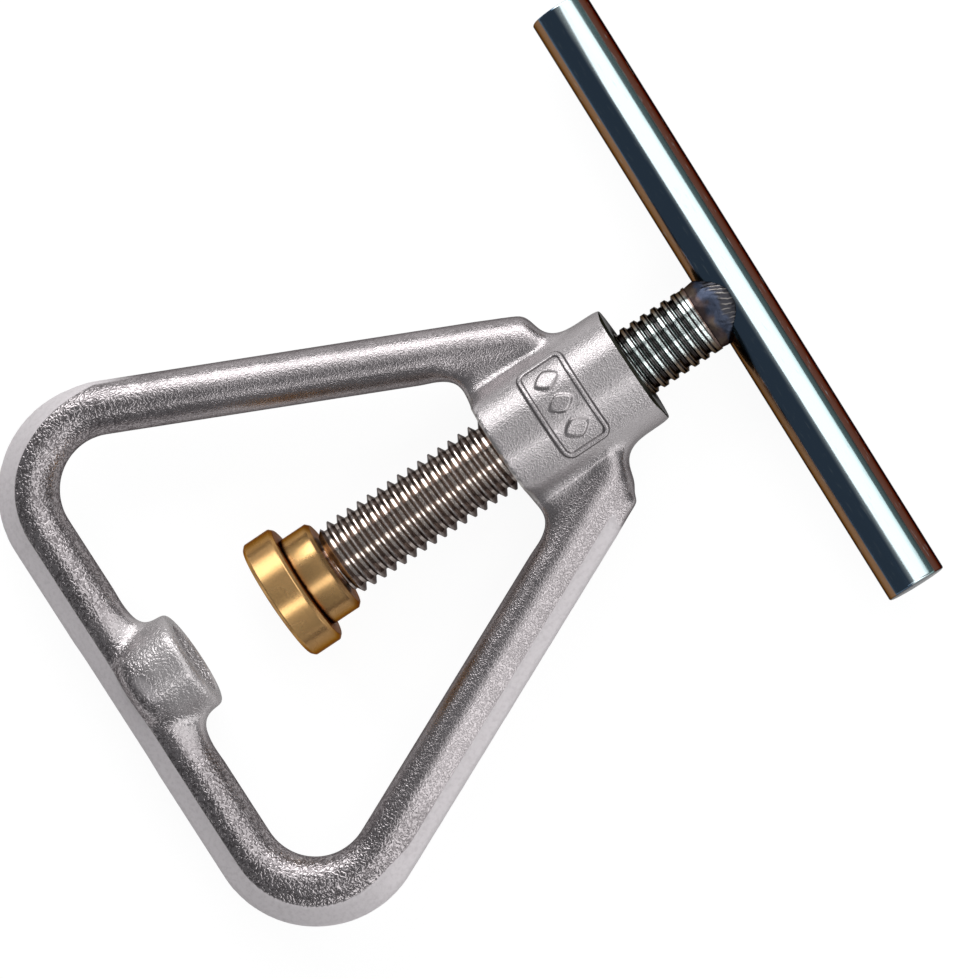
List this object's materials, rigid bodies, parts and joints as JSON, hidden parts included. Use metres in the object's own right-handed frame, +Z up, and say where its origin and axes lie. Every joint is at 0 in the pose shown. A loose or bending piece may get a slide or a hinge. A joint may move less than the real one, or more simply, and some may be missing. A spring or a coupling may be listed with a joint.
{
  "type": "screw press nutcracker",
  "caption": "Cast triangular frame with a threaded boss and an anvil cup; a T-handled screw drives a swivelling brass foot towards the cup to crack nuts.",
  "frame": {"origin": "middle of the bounding box at the height of the surface that the press lies on, on its back", "axes": "+X along the screw from the anvil cup to the handle, +Y along the handle bar, +Z up, away from the surface"},
  "size_m": [0.1266, 0.1092, 0.0215],
  "materials": {
    "cast_steel": "blasted casting, satin",
    "screw_steel": "cut thread, oiled",
    "bar_steel": "bright plated",
    "weld_steel": "heat tinted weld",
    "brass": "turned",
    "spring_steel": "drawn wire"
  },
  "bodies": {
    "frame": {"frame": "cast_steel"},
    "snap_ring": {"foot_snap_ring": "spring_steel"},
    "screw": {"spindle": "screw_steel", "handle_bar": "bar_steel", "handle_weld": "weld_steel"},
    "foot": {"pressure_foot": "brass"}
  },
  "joints": [
    {"name": "press_travel", "type": "slide", "parent": "frame", "child": "snap_ring", "axis": [-1, 0, 0], "range_m": [-0.0317, 0.0131]},
    {"name": "spindle_turn", "type": "hinge", "parent": "snap_ring", "child": "screw", "pos_m": [0.03697, 0, 0.0106], "axis": [-1, 0, 0], "range_deg": [-5803, 2376]},
    {"name": "foot_swivel", "type": "hinge", "parent": "snap_ring", "child": "foot", "pos_m": [-0.02363, 0, 0.0106], "axis": [-1, 0, 0], "continuous": true}
  ],
  "couplings": [
    {"joint": "press_travel", "follows": "spindle_turn", "m_per_rad": 0.00031096}
  ]
}
